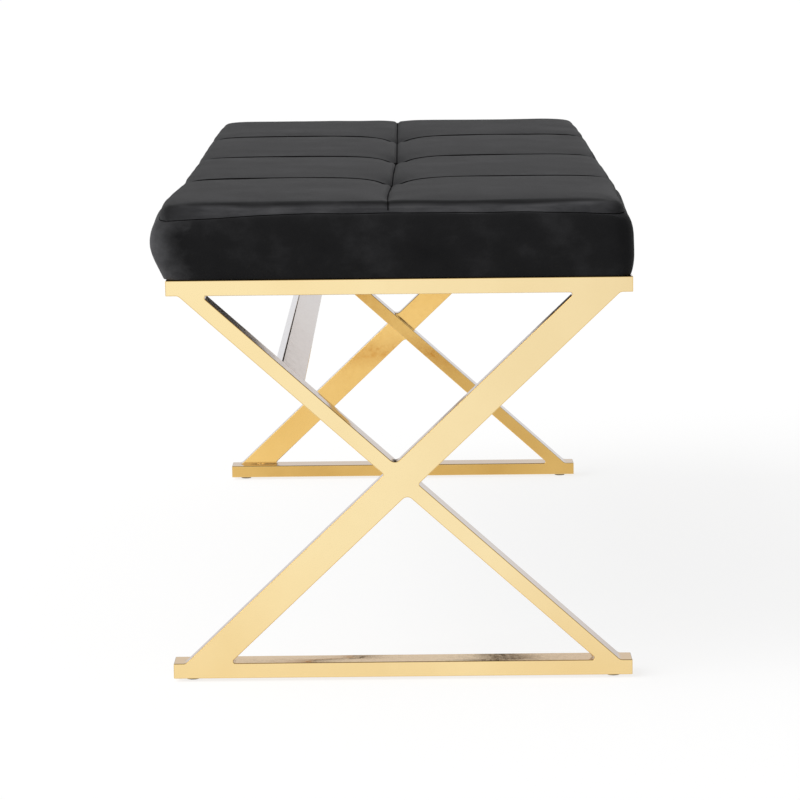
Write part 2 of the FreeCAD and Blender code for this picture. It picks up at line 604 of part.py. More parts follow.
def make_seat_fasteners():
    """Bolts and washers inside the top rails, tee nuts let into the board."""
    points = bolt_points(ENDS.values())
    washer_z = "(Dims.frame_top - Dims.tube_wall - Dims.washer_thick)"
    discs = cylinders("washer_discs", "Dims.washer_radius", "Dims.washer_thick", points, washer_z)
    washer_hole = "Dims.bolt_radius + Dims.hole_gap"
    eyes = cylinders("washer_eyes", washer_hole, "Dims.washer_thick", points, washer_z)
    piece(boolean("Cut", "seat_bolt_washers", discs, eyes))

    head_z = f"{washer_z} - Dims.head_height"
    grip = "Dims.washer_thick + Dims.tube_wall + Dims.cover_wrap + Dims.board_thick"
    heads = cylinders("bolt_heads", "Dims.head_radius", "Dims.head_height", points, head_z)
    shanks = cylinders("bolt_shanks", "Dims.bolt_radius", f"{grip} - Dims.bolt_end_gap", points, washer_z)
    sockets = []
    for number, (x, y) in enumerate(points, start=1):
        socket = doc.addObject("Part::Prism", f"bolt_socket_{number}")
        socket.Polygon = 6
        bind(socket, {"Circumradius": "Dims.socket_radius", "Height": "Dims.socket_depth"})
        sockets.append(place(socket, x, y, head_z))
    blanks = boolean("Fuse", "bolt_blanks", heads, shanks)
    piece(boolean("Cut", "seat_bolts", blanks, compound("bolt_sockets", sockets)))

    barrel_z = f"{FOAM_Z} - Dims.nut_length"
    flange_z = f"{FOAM_Z} - Dims.flange_thick"
    barrels = cylinders("nut_barrels", "Dims.nut_radius", "Dims.nut_length", points, barrel_z)
    flanges = cylinders("nut_flanges", "Dims.flange_radius", "Dims.flange_thick", points, flange_z)
    thread = "Dims.bolt_radius + Dims.thread_gap"
    threads = cylinders("nut_threads", thread, "Dims.nut_length", points, barrel_z)
    nut_blanks = boolean("Fuse", "nut_blanks", barrels, flanges)
    piece(boolean("Cut", "tee_nuts", nut_blanks, threads))


def staple(x, y, along):
    """A staple with its legs up, its crown along X or Y, centred on a point of the dust cover."""
    wire, crown, leg = dim("staple_wire"), dim("staple_crown"), dim("staple_leg")
    back = Part.makeBox(crown, wire, wire, FreeCAD.Vector(-crown / 2, -wire / 2, -wire))
    legs = [
        Part.makeBox(wire, wire, leg, FreeCAD.Vector(low, -wire / 2, 0))
        for low in (-crown / 2, crown / 2 - wire)
    ]
    shape = back.multiFuse(legs)
    if along == "Y":
        shape.rotate(FreeCAD.Vector(), FreeCAD.Vector(0, 0, 1), 90)
    shape.translate(FreeCAD.Vector(x, y, 0))
    return shape


def spread(half, count):
    """Evenly spaced places along an edge, half a step in from both ends."""
    step = 2 * half / count
    return [-half + step * (number + 0.5) for number in range(int(count))]


def make_underside():
    """Dust cover between the top rails, stapled through the velvet's turned-in edge to the board."""
    length = "Dims.bench_length - 2 * Dims.tube_wide - 2 * Dims.dust_gap"
    piece(box(
        "dust_cover", "Dims.frame_width - 2 * Dims.dust_margin", length, "Dims.dust_thick",
        "0", "0", "Dims.frame_top - Dims.dust_thick"))
    half_x = dim("frame_width") / 2 - dim("dust_margin") - dim("staple_inset")
    half_y = dim("bench_length") / 2 - dim("tube_wide") - dim("dust_gap") - dim("staple_inset")
    row = []
    for side in SIDES.values():
        row += [staple(side * half_x, y, "Y") for y in spread(half_y, dim("long_edge_count"))]
        row += [staple(x, side * half_y, "X") for x in spread(half_x, dim("short_edge_count"))]
    staples = doc.addObject("Part::Feature", "staples")
    staples.Shape = Part.Compound(row)
    piece(place(staples, z="Dims.frame_top - Dims.dust_thick"))


def check_model():
    for obj in doc.Objects:
        if "Invalid" in obj.State or "Error" in obj.State:
            raise RuntimeError(f"{obj.Label} did not recompute: {obj.State}")
    for obj in pieces:
        if obj.Shape.isNull() or not obj.Shape.isValid() or not obj.Shape.Solids:
            raise RuntimeError(f"{obj.Label} has no valid solid")


def write_pieces():
    os.makedirs("parts", exist_ok=True)
    for obj in pieces:
        obj.Shape.exportStep(f"parts/{obj.Label}.step")
        print(obj.Label, len(obj.Shape.Solids), "solids", round(obj.Shape.Volume), "mm3")


fill_sheet()
between = box(
    "between_rails", "Dims.frame_width", "2 * Dims.bench_length", RISE,
    "0", "0", "Dims.pad_height + Dims.tube_thin")
for end_name, end_sign in ENDS.items():
    make_rails(end_name, end_sign)
    make_legs(end_name, end_sign, between)
    make_welds(end_name, end_sign)
    make_glides(end_name, end_sign)
make_stretcher()
make_board()
make_foam()
make_cover()
make_ties()
make_seat_fasteners()
make_underside()
doc.recompute()
check_model()
write_pieces()
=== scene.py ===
import math

import bmesh
import bpy
import numpy as np
from mathutils import Matrix, Vector, noise


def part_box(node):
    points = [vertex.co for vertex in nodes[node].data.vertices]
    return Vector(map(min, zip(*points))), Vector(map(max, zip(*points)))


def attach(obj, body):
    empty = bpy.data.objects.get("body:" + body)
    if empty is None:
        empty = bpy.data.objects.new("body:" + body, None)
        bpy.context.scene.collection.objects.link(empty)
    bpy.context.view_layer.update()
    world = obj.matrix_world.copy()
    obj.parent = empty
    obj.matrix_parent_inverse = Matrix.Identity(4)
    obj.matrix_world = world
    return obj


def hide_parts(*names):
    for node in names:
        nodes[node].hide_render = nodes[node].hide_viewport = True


# An entry bench: a quilted velvet cushion on two polished gold X frames.
# Sizes are in metres; X runs across the bench, Y along it, the camera looks along +Y.

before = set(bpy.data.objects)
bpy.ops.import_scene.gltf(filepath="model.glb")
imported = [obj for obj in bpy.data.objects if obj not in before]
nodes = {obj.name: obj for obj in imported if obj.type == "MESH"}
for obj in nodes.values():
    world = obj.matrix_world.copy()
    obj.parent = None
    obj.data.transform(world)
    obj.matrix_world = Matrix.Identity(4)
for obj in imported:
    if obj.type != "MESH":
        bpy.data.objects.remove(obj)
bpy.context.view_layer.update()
scene = bpy.context.scene
MM = 0.001

# Stage: the floor lies just under the pads, and most of the light falls from the left
FLOOR_Z, FLOOR_HALF = -0.2 * MM, 40.0
FLOOR_COLOUR, FLOOR_GLOW = (0.96, 0.96, 0.96, 1), 0.8
LEFT_LIGHT, RIGHT_LIGHT = 1.3, 0.0
KEY_POWER, KEY_SPREAD = 2.3, math.radians(50)
KEY_DIRECTION = (0.8, 0.3, -0.65)

# Camera, worked out from the frame's edges in the photograph; its turns are in degrees
CAMERA_PLACE = (0.00668, -3.5459, 0.7643)
CAMERA_YAW, CAMERA_PITCH, CAMERA_ROLL = -0.134, 9.222, -0.600
CAMERA_LENS, CAMERA_SENSOR, CAMERA_REACH = 141.27, 36, 200

# Noise textures mostly lie in this range, and a pair of colours belongs to its two ends
NOISE_RANGE = (0.3, 0.7)

# Plating: its own pale gold on the outward faces, with painted shade to the right, a painted darker and
# warmer reflection near the floor, and painted shade on the inward faces, darkest on those set back
GOLD_PALE = ((0.945, 0.755, 0.405), (0.985, 0.810, 0.460))
GOLD_SHADED = ((0.850, 0.670, 0.370), (0.910, 0.735, 0.425))
GOLD_LOW_SHADE = ((0.860, 0.620, 0.275), (0.930, 0.700, 0.345))
GOLD_INWARD_SHADE = ((0.830, 0.520, 0.155), (0.900, 0.600, 0.210))
GOLD_RECESS_SHADE = ((0.620, 0.370, 0.100), (0.760, 0.490, 0.160))
GOLD_GRAZING = (0.70, 0.78, 1.0, 1)
# Where the plating's painted shade lies: to the right along X, near the floor along Z, and on faces
# turned in or set back
SHADED_X, LOW_SHADE_Z, LOW_SHADE_SHARE = (-0.15, 0.25), (0.01, 0.14), 0.75
OUTWARD, INWARD, INNER_Y = (0.6, 0.95), (-0.95, -0.6), (0.526, 0.532)
CLOUD_SCALE, MARK_SCALE, WAVE_SCALE = 7.0, 160.0, 22.0
WAVE_STRENGTH, WAVE_DEPTH = 0.05, 2 * MM
FACE_GLOSS, EDGE_GLOSS = (0.06, 0.13), (0.10, 0.20)
# Eased edges by upward facing: painted shade, browner than the faces and darkest where they face up
EDGE_SHADE_TONES = ((0.15, (0.780, 0.560, 0.240)), (0.5, (0.260, 0.170, 0.060)))

# Velvet: brushed in patches, with painted sheen along the end rolls and on the left wall, and painted
# shade on the right wall
VELVET_TONES = (
    (0.30, (0.0044, 0.0044, 0.0049)),
    (0.52, (0.0070, 0.0070, 0.0076)),
    (0.72, (0.0155, 0.0155, 0.0166)),
)
# Painted sheen on the end rolls and the left wall, painted shade on the right wall
ROLL_SHEEN_TONES = ((0.024, 0.024, 0.026), (0.056, 0.056, 0.059))
LEFT_WALL_SHEEN_TONES = ((0.034, 0.034, 0.036), (0.058, 0.058, 0.061))
RIGHT_WALL_SHADE_TONES = ((0.0025, 0.0025, 0.0028), (0.0045, 0.0045, 0.0050))
PATCH_SCALE, PATCH_STRETCH = 16.0, (1, 0.8, 1.3)
ROLL_STREAK_SCALE, ROLL_STREAK_STRETCH = 24.0, (1, 3, 3)
PILE_SCALE, NAP_SCALE, NAP_SHARE = 1400.0, 120.0, 0.6
PILE_STRENGTH, PILE_DEPTH = 0.35, 0.6 * MM
ROLL_INNER_Y, ROLL_OUTER_Y = (0.5385, 0.5425), (0.5478, 0.5488)
ROLL_Z, ROLL_X = (0.450, 0.453), (0.185, 0.222)
WALL_Z, LEFT_WALL_X, RIGHT_WALL_X = (0.448, 0.462), (-0.238, -0.203), (0.208, 0.229)
RAGGEDNESS = 14 * MM
SHEEN_TINT = (0.60, 0.60, 0.62, 1)

# Plain finishes: how much finer their grain is than their clouds, its band of roughness and its depth
GRAIN_FINENESS, ROUGH_BAND, GRAIN_DEPTH = 6, 0.08, 0.8 * MM
PLAIN_FINISHES = {
    # A near-black thread, thicker than sewing thread and without gloss: painted shade in the seams
    "seam_shade_thread": {
        "dark": (0.002, 0.002, 0.002), "light": (0.004, 0.004, 0.004), "scale": 600, "rough": 0.9,
        "specular": 0.0},
    "glide_plastic": {
        "dark": (0.23, 0.22, 0.21), "light": (0.36, 0.35, 0.33), "scale": 90, "rough": 0.42},
    "zinc_steel": {
        "dark": (0.52, 0.53, 0.55), "light": (0.72, 0.73, 0.75), "scale": 150, "rough": 0.30,
        "metallic": 1.0},
    "plywood": {
        "dark": (0.50, 0.34, 0.18), "light": (0.66, 0.48, 0.28), "scale": 30, "rough": 0.6,
        "stretch": (1, 0.15, 6)},
    "foam": {
        "dark": (0.72, 0.67, 0.50), "light": (0.82, 0.78, 0.62), "scale": 220, "rough": 0.9,
        "bumpy": 0.6},
    "dust_cloth": {
        "dark": (0.012, 0.012, 0.012), "light": (0.028, 0.028, 0.028), "scale": 420, "rough": 0.9,
        "bumpy": 0.5},
    "twine": {
        "dark": (0.55, 0.48, 0.34), "light": (0.68, 0.60, 0.45), "scale": 700, "rough": 0.85,
        "bumpy": 0.7},
}

# What a CAD node's name holds, and the finish that it gets; every other node is plated
NODE_SLOTS = {
    "glide_pad": "glide_plastic",
    "glide_stem": "zinc_steel",
    "glide_bushes": "zinc_steel",
    "washers": "zinc_steel",
    "bolts": "zinc_steel",
    "tee_nuts": "zinc_steel",
    "anchors": "zinc_steel",
    "staples": "zinc_steel",
    "seat_board": "plywood",
    "foam_core": "foam",
    "tuft_ties": "twine",
    "dust_cover": "dust_cloth",
    "velvet_cover": "velvet",
}

# End frames
WELD_RADIUS, TIGHT_WELD_RADIUS = 6.5 * MM, 2 * MM
TIGHT_HALF_ANGLE = math.radians(45)
WELD_LAP, ARC_STEPS = 5 * MM, 6
EDGE_RADIUS, EDGE_STEPS = 0.8 * MM, 3
SHARP_ANGLE, FLAT_ANGLE, SAME_POINT = math.radians(30), math.radians(0.5), 0.02 * MM
BOLT_X = 140 * MM
HOLE_GAP, HOLE_SIDES = 0.4 * MM, 32

# Cushion, in millimetres, as in the CAD solid that it stands for
SEAMS_Y = (-275.0, 0.0, 275.0)
HALF_X, HALF_Y = 225.5, 549.0
STOPS_X, STOPS_Y = (-HALF_X, 0.0, HALF_X), (-HALF_Y, *SEAMS_Y, HALF_Y)
BOTTOM_Z, BOXING_Z = 396.3, 459.0
SLACK_HEIGHTS = (471.2, 469.6, 468.9, 470.4, 470.8)

# Boxing seam: waves (height, length, start), where its sag begins, and how far it sags at the corners
EDGE_WAVES = ((0.5, 19.0, 0.6), (0.3, 10.3, 2.1), (0.35, 37.0, 4.0))
BOXING_WAVE = 1.1
SAG_X, SAG_Y = 40.0, 440.0
FAR_SAG, NEAR_LEFT_SAG, NEAR_RIGHT_SAG = 5.0, 7.0, 3.0
SEAM_DEPTH, LIP_FADE = 1.5, 1.2

# Edge of the top: along the sides one roll, along the ends a bead and then a crease
SIDE_LIP, SIDE_ROLL, SIDE_CROWN = 6.0, 18.0, 105.0
SIDE_SHARES = (0.36, 0.60, 0.04)
BEAD_WIDTH, END_CROWN = 8.0, 120.0
CREASE_START, CREASE_WIDTH = 6.0, 7.0
END_SHARES = (0.40, 0.46, 0.14)
END_BLEND, EARLY_POWER = 110.0, 1.6
SMALLEST = 1e-9

# Seams and tufts, each hollow as (depth, reach); the long seam is shallow at the near end
CROSS_HOLLOWS, CROSS_FADE = ((0.4, 30.0), (2.6, 4.0)), 7.0
LONG_HOLLOW, LONG_CREASE = (1.6, 30.0), (2.8, 5.0)
NEAR_START, NEAR_FADE = 5.0, 60.0
END_CREASE_SHARE, END_CREASE_FADE = 0.4, 5.0
TUFT_HOLLOWS = ((8.5, 22.0), (5.0, 9.0))
TUFT_RADIUS, TUFT_Z, TUFT_STRETCH = 20.0, 456.6, 2.0

# Walls: bulges, corners and feet, and how the cross seams pinch them
SIDE_BULGE, END_BULGE = 8.5, 4.5
BULGE_SKEW, BULGE_ROUNDING = 0.75, 4.0
CORNER_RADIUS, TIGHT_RADIUS, FOOT_RADIUS = 28.0, 18.0, 14.0
SIDE_PINCH, PINCH_DROP = 3.5, 4.0
PINCH_REACH, PINCH_X, PINCH_SKEW = 60.0, 90.0, 0.7
UNDERSIDE_SHARES, UNDERSIDE_DROP = (0.99, 0.85), 0.1

# Lean of the cover: all of it a little, its near end more, its foot less
WHOLE_LEAN, NEAR_LEAN, LEAN_LENGTH = 1.5, 5.5, 225.0
FOOT_LEAN_SHARE, LEAN_HEIGHT = 0.25, 36.0
REAR_FLARE, FLARE_LENGTH = 3.0, 300.0
MIDDLE_DRIFT = (-3.0, -5.5, -0.8)

# Rumples, in metres for the finished mesh, above a foot that stays flat
RUMPLE_SCALE, RUMPLE_HEIGHT = 22.0, 0.6 * MM
RUMPLE_Z = (BOTTOM_Z + 4.0) * MM

# Threads as (lift above the seam's bottom, radius), left out at the ends of the seams: near-black and
# thicker than sewing thread, they are painted shade in the seam creases
CROSS_SHADE_THREAD, LONG_SHADE_THREAD, BOXING_SHADE_THREAD = (1.9, 1.5), (0.8, 0.4), (0.0, 0.45)
SHADE_THREAD_SIDES, SHADE_THREAD_RUN = 6, slice(2, -2)

# Where the cushion's mesh has its lines: distances from a seam or edge, and the step between them
FINE_STEPS = (1.0, 2.2, 3.6, 5.2, 7.0, 9.0, 11.5, 15.0, 20.0)
FINE_STEP = 8.0

# Levels of the walls: distances down from the boxing seam, and at the foot up from the underside
UPPER_LEVELS, LOWER_LEVELS = (0, 1.2, 2.6, 4.5, 8), (4, 1.2, 0)
WALL_START, WALL_STEP = 13.0, 6.0

# Pressure simulation of the cover
SIM_STEP, SIM_FRAMES, SIM_QUALITY = 7.0, 20, 6
PRESSURE, MOST_MOVED = 4.0, 1.7


# Meshes


def mesh_object(name, points, faces):
    mesh = bpy.data.meshes.new(name)
    mesh.from_pydata([tuple(point) for point in points], [], faces)
    mesh.update()
    made = bpy.data.objects.new(name, mesh)
    scene.collection.objects.link(made)
    return made


def face_outwards(made):
    """Turn all faces of a closed mesh outwards."""
    shape = bmesh.new()
    shape.from_mesh(made.data)
    bmesh.ops.recalc_face_normals(shape, faces=shape.faces)
    shape.to_mesh(made.data)
    shape.free()


def shade_smooth(made):
    for polygon in made.data.polygons:
        polygon.use_smooth = True


def drop(made):
    mesh = made.data
    bpy.data.objects.remove(made)
    bpy.data.meshes.remove(mesh)


def applied(made):
    """Put an object's modifiers into its mesh."""
    graph = bpy.context.evaluated_depsgraph_get()
    mesh = bpy.data.meshes.new_from_object(made.evaluated_get(graph))
    old = made.data
    made.modifiers.clear()
    made.data = mesh
    bpy.data.meshes.remove(old)


# Materials


def new_material(name):
    made = bpy.data.materials.new(name)
    made.use_nodes = True
    tree = made.node_tree
    return made, tree, tree.nodes["Principled BSDF"]


def set_inputs(item, **values):
    for name, value in values.items():
        item.inputs[name.replace("_", " ")].default_value = value


def object_point(tree, stretch=(1, 1, 1)):
    """Object coordinates, stretched along the axes."""
    coordinates = tree.nodes.new("ShaderNodeTexCoord")
    mapping = tree.nodes.new("ShaderNodeMapping")
    mapping.inputs["Scale"].default_value = stretch
    tree.links.new(coordinates.outputs["Object"], mapping.inputs["Vector"])
    return mapping.outputs["Vector"]


def axes_of(tree, kind):
    """X, Y and Z of one kind of coordinates."""
    coordinates = tree.nodes.new("ShaderNodeTexCoord")
    axes = tree.nodes.new("ShaderNodeSeparateXYZ")
    tree.links.new(coordinates.outputs[kind], axes.inputs["Vector"])
    return [axes.outputs[name] for name in "XYZ"]


def noise_of(tree, point, scale, detail=3.0, roughness=0.55):
    made = tree.nodes.new("ShaderNodeTexNoise")
    set_inputs(made, Scale=scale, Detail=detail, Roughness=roughness)
    tree.links.new(point, made.inputs["Vector"])
    return made.outputs["Fac"]


def ramp(tree, value, stops):
    """Colours along a value: stops are (place, colour)."""
    made = tree.nodes.new("ShaderNodeValToRGB")
    elements = made.color_ramp.elements
    while len(elements) < len(stops):
        elements.new(0.5)
    for element, (place, colour) in zip(elements, stops):
        element.position = place
        element.color = (*colour, 1)
    tree.links.new(value, made.inputs["Fac"])
    return made.outputs["Color"]


def tones(tree, value, pair):
    """A noise as a blend of two colours."""
    return ramp(tree, value, list(zip(NOISE_RANGE, pair)))


def spread(tree, value, span, low=0.0, high=1.0):
    """A value's span stretched to run from low to high, and held there beyond its ends."""
    made = tree.nodes.new("ShaderNodeMapRange")
    for name, number in zip(("From Min", "From Max", "To Min", "To Max"), (*span, low, high)):
        made.inputs[name].default_value = number
    tree.links.new(value, made.inputs["Value"])
    return made.outputs["Result"]


def maths(tree, operation, *values):
    """One operation on node outputs and plain numbers."""
    made = tree.nodes.new("ShaderNodeMath")
    made.operation = operation
    for socket, value in zip(made.inputs, values):
        if isinstance(value, float):
            socket.default_value = value
        else:
            tree.links.new(value, socket)
    return made.outputs["Value"]


def product(tree, first, *others):
    for other in others:
        first = maths(tree, "MULTIPLY", first, other)
    return first


def bump(tree, height, strength, distance):
    made = tree.nodes.new("ShaderNodeBump")
    set_inputs(made, Strength=strength, Distance=distance)
    tree.links.new(height, made.inputs["Height"])
    return made.outputs["Normal"]


def mixed_colour(tree, share, first, second):
    made = tree.nodes.new("ShaderNodeMix")
    made.data_type = "RGBA"
    colour_a, colour_b = [socket for socket in made.inputs if socket.type == "RGBA"]
    result = next(socket for socket in made.outputs if socket.type == "RGBA")
    tree.links.new(share, made.inputs["Factor"])
    tree.links.new(first, colour_a)
    tree.links.new(second, colour_b)
    return result


def gold_material():
    """Polished plating with faint clouds and fine marks; its tone carries painted shade: darker to the
    right, near the floor, and on inward and set-back faces.
    """
    made, tree, shader = new_material("gold_metal")
    point = object_point(tree)
    place_x, place_y, place_z = axes_of(tree, "Object")
    facing_y = axes_of(tree, "Normal")[1]
    # Painted shade by facing: faces turned inwards get a darker tone, darkest where they are set back
    # from the outer face
    turned = maths(tree, "MULTIPLY", facing_y, maths(tree, "SIGN", place_y))
    outward = spread(tree, turned, OUTWARD)
    inner = spread(tree, maths(tree, "ABSOLUTE", place_y), INNER_Y, 1.0, 0.0)
    inner = product(tree, spread(tree, turned, INWARD, 1.0, 0.0), inner)
    clouds = noise_of(tree, point, CLOUD_SCALE, detail=4.0)
    pairs = (GOLD_PALE, GOLD_SHADED, GOLD_LOW_SHADE, GOLD_INWARD_SHADE, GOLD_RECESS_SHADE)
    pale, shaded, low_shade, inward_shade, recess_shade = [tones(tree, clouds, pair) for pair in pairs]
    # Painted shade on the outward tone: darker to the right, and darker and warmer near the floor
    pale = mixed_colour(tree, spread(tree, place_x, SHADED_X), pale, shaded)
    pale = mixed_colour(tree, spread(tree, place_z, LOW_SHADE_Z, LOW_SHADE_SHARE, 0.0), pale, low_shade)
    colour = mixed_colour(tree, outward, mixed_colour(tree, inner, inward_shade, recess_shade), pale)
    tree.links.new(colour, shader.inputs["Base Color"])
    marks = noise_of(tree, point, MARK_SCALE, detail=2.0)
    tree.links.new(spread(tree, marks, NOISE_RANGE, *FACE_GLOSS), shader.inputs["Roughness"])
    waves = noise_of(tree, point, WAVE_SCALE, detail=1.0)
    tree.links.new(bump(tree, waves, WAVE_STRENGTH, WAVE_DEPTH), shader.inputs["Normal"])
    set_inputs(shader, Metallic=1.0, Specular_Tint=GOLD_GRAZING)
    return made


def gold_edge_material():
    """The plating on the eased edges, with painted shade: browner, and darkest on those that face up.
    """
    made, tree, shader = new_material("gold_edge")
    tree.links.new(ramp(tree, axes_of(tree, "Normal")[2], EDGE_SHADE_TONES), shader.inputs["Base Color"])
    marks = noise_of(tree, object_point(tree), MARK_SCALE, detail=2.0)
    tree.links.new(spread(tree, marks, NOISE_RANGE, *EDGE_GLOSS), shader.inputs["Roughness"])
    set_inputs(shader, Metallic=1.0)
    return made


def velvet_material():
    """Black velvet: nap brushed in soft patches, painted sheen along the end rolls and the left wall,
    painted shade on the right wall, and a sheen at its edges.
    """
    made, tree, shader = new_material("velvet")
    point = object_point(tree)
    x, y, z = axes_of(tree, "Object")
    patches = noise_of(tree, object_point(tree, PATCH_STRETCH), PATCH_SCALE, detail=5.0, roughness=0.6)
    roll_streaks = noise_of(tree, object_point(tree, ROLL_STREAK_STRETCH), ROLL_STREAK_SCALE, detail=4.0)
    end = maths(tree, "ABSOLUTE", y)
    side = maths(tree, "ABSOLUTE", x)
    # Painted sheen: a lighter, streaked strip along the end rolls
    roll = product(
        tree, spread(tree, end, ROLL_INNER_Y), spread(tree, end, ROLL_OUTER_Y, 1.0, 0.0),
        spread(tree, z, ROLL_Z), spread(tree, side, ROLL_X, 1.0, 0.0))
    # Painted sheen on the left wall, with a ragged inner edge, and painted shade on the right wall
    wall = spread(tree, z, WALL_Z, 1.0, 0.0)
    ragged = maths(tree, "ADD", x, spread(tree, patches, NOISE_RANGE, RAGGEDNESS, -RAGGEDNESS))
    left = product(tree, wall, spread(tree, ragged, LEFT_WALL_X, 1.0, 0.0))
    right = product(tree, wall, spread(tree, x, RIGHT_WALL_X))
    colour = ramp(tree, patches, VELVET_TONES)
    colour = mixed_colour(tree, left, colour, tones(tree, patches, LEFT_WALL_SHEEN_TONES))
    colour = mixed_colour(tree, right, colour, tones(tree, patches, RIGHT_WALL_SHADE_TONES))
    colour = mixed_colour(tree, roll, colour, tones(tree, roll_streaks, ROLL_SHEEN_TONES))
    tree.links.new(colour, shader.inputs["Base Color"])
    pile = noise_of(tree, point, PILE_SCALE, detail=2.0)
    nap = noise_of(tree, point, NAP_SCALE, detail=3.0)
    grain = maths(tree, "MULTIPLY_ADD", nap, NAP_SHARE, pile)
    tree.links.new(bump(tree, grain, PILE_STRENGTH, PILE_DEPTH), shader.inputs["Normal"])
    set_inputs(shader, Roughness=0.85, Specular_IOR_Level=0.12)
    set_inputs(shader, Sheen_Weight=0.096, Sheen_Roughness=0.42, Sheen_Tint=SHEEN_TINT)
    return made


def plain_material(
        name, dark, light, scale, rough, bumpy=0.2, metallic=0.0, specular=0.5, stretch=(1, 1, 1)):
    """A finish with soft variation in colour, and its own grain in gloss and bump."""
    made, tree, shader = new_material(name)
    point = object_point(tree, stretch)
    colour = tones(tree, noise_of(tree, point, scale), (dark, light))
    grain = noise_of(tree, point, scale * GRAIN_FINENESS, detail=2.0)
    gloss = spread(tree, grain, NOISE_RANGE, rough - ROUGH_BAND, rough + ROUGH_BAND)
    tree.links.new(colour, shader.inputs["Base Color"])
    tree.links.new(gloss, shader.inputs["Roughness"])
    tree.links.new(bump(tree, grain, bumpy, GRAIN_DEPTH), shader.inputs["Normal"])
    set_inputs(shader, Metallic=metallic, Specular_IOR_Level=specular)
    return made


MATERIALS = {
    "gold_metal": gold_material(),
    "gold_edge": gold_edge_material(),
    "velvet": velvet_material(),
    **{name: plain_material(name, **finish) for name, finish in PLAIN_FINISHES.items()},
}


def paint(made, *names):
    made.data.materials.clear()
    for name in names:
        made.data.materials.append(MATERIALS[name])


def paint_cad_nodes():
    for name, made in nodes.items():
        slot = next((slot for part, slot in NODE_SLOTS.items() if part in name), "gold_metal")
        paint(made, slot)


# End frames


def prism(name, outline, start_y, depth):
    """A solid from an outline in X and Z, drawn from start_y by depth along Y."""
    count = len(outline)
    points = [(x, y, z) for y in (start_y, start_y + depth) for x, z in outline]
    faces = [tuple(range(count)), tuple(range(2 * count - 1, count - 1, -1))]
    for at in range(count):
        following = (at + 1) % count
        faces.append((following, at, at + count, following + count))
    made = mesh_object(name, points, faces)
    face_outwards(made)
    return made


def leg_edges(face, rising, run, rise):
    """A leg's two edges about the crossing: a point, the way up and the way out of each."""
    lean = math.atan2(rise, run) + math.asin(face / math.hypot(run, rise))
    up = Vector((rising * math.cos(lean), math.sin(lean)))
    across = Vector((math.sin(lean), -rising * math.cos(lean)))
    return [(across * (side * face / 2), up, across * side) for side in (-1, 1)]


def at_level(edge, level):
    point, up, _ = edge
    return point + up * ((level - point.y) / up.y)


def fillet_outline(corner, first, second):
    """The filled corner between two straight edges, with its back sunk into the metal."""
    half_angle = first.angle(second) / 2
    radius = TIGHT_WELD_RADIUS if half_angle < TIGHT_HALF_ANGLE else WELD_RADIUS
    bisector = (first + second).normalized()
    centre = corner + bisector * (radius / math.sin(half_angle))
    reach = radius / math.tan(half_angle)
    start = corner + first * reach - centre
    finish = corner + second * reach - centre
    sweep = start.angle_signed(finish)
    turned = [Matrix.Rotation(-sweep * step / ARC_STEPS, 2) @ start for step in range(ARC_STEPS + 1)]
    return [centre + spoke for spoke in turned] + [corner - bisector * WELD_LAP]


def frame_outlines(half_run, half_rise, wide, thin):
    """Outlines of the legs and of the weld fillets of one end frame, each with its depth."""
    run, rise = 2 * half_run, 2 * half_rise
    wide_edges = leg_edges(wide, 1, run, rise)
    narrow_edges = leg_edges(thin, -1, run, rise)
    outlines = []
    for edges, depth in ((wide_edges, thin), (narrow_edges, wide)):
        low, high = -half_rise - WELD_LAP, half_rise + WELD_LAP
        corners = [at_level(edges[0], low), at_level(edges[1], low)]
        corners += [at_level(edges[1], high), at_level(edges[0], high)]
        outlines.append((corners, depth))
        for edge in edges:
            _, up, out = edge
            along_rail = Vector((math.copysign(1, out.x), 0))
            for level, along_leg in ((-half_rise, up), (half_rise, -up)):
                outlines.append((fillet_outline(at_level(edge, level), along_rail, along_leg), depth))
    for wide_point, wide_up, wide_out in wide_edges:
        for narrow_point, narrow_up, narrow_out in narrow_edges:
            along_wide = wide_up * math.copysign(1, wide_up.dot(narrow_out))
            along_narrow = narrow_up * math.copysign(1, narrow_up.dot(wide_out))
            travel = (narrow_point - wide_point).dot(narrow_out) / wide_up.dot(narrow_out)
            corner = wide_point + wide_up * travel
            outlines.append((fillet_outline(corner, along_wide, along_narrow), thin))
    return outlines


def rectangle(half_x, low_z, high_z):
    return [(-half_x, low_z), (half_x, low_z), (half_x, high_z), (-half_x, high_z)]


def weld(body, others):
    """Join solids into one."""
    members = bpy.data.collections.new("members")
    for other in others:
        members.objects.link(other)
    union = body.modifiers.new("weld", "BOOLEAN")
    union.operation = "UNION"
    union.operand_type = "COLLECTION"
    union.collection = members
    union.solver = "EXACT"
    applied(body)
    for other in others:
        drop(other)
    bpy.data.collections.remove(members)


def drill_access_holes(body, middle_y, low_z):
    """Holes in a top rail's underside that let a spanner reach the seat bolts."""
    bolt_low, bolt_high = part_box("seat_bolts")
    _, washer_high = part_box("seat_bolt_washers")
    washer_radius = washer_high.x - (bolt_high.x + bolt_low.x) / 2 - BOLT_X
    hole_radius = washer_radius + HOLE_GAP
    for side in (-1, 1):
        shape = bmesh.new()
        bmesh.ops.create_cone(
            shape, cap_ends=True, segments=HOLE_SIDES, radius1=hole_radius, radius2=hole_radius,
            depth=2 * (washer_high.z - low_z),
            matrix=Matrix.Translation((side * BOLT_X, middle_y, low_z)))
        mesh = bpy.data.meshes.new("drill")
        shape.to_mesh(mesh)
        shape.free()
        drill = bpy.data.objects.new("drill", mesh)
        scene.collection.objects.link(drill)
        cut = body.modifiers.new("access hole", "BOOLEAN")
        cut.operation = "DIFFERENCE"
        cut.solver = "EXACT"
        cut.object = drill
        applied(body)
        drop(drill)


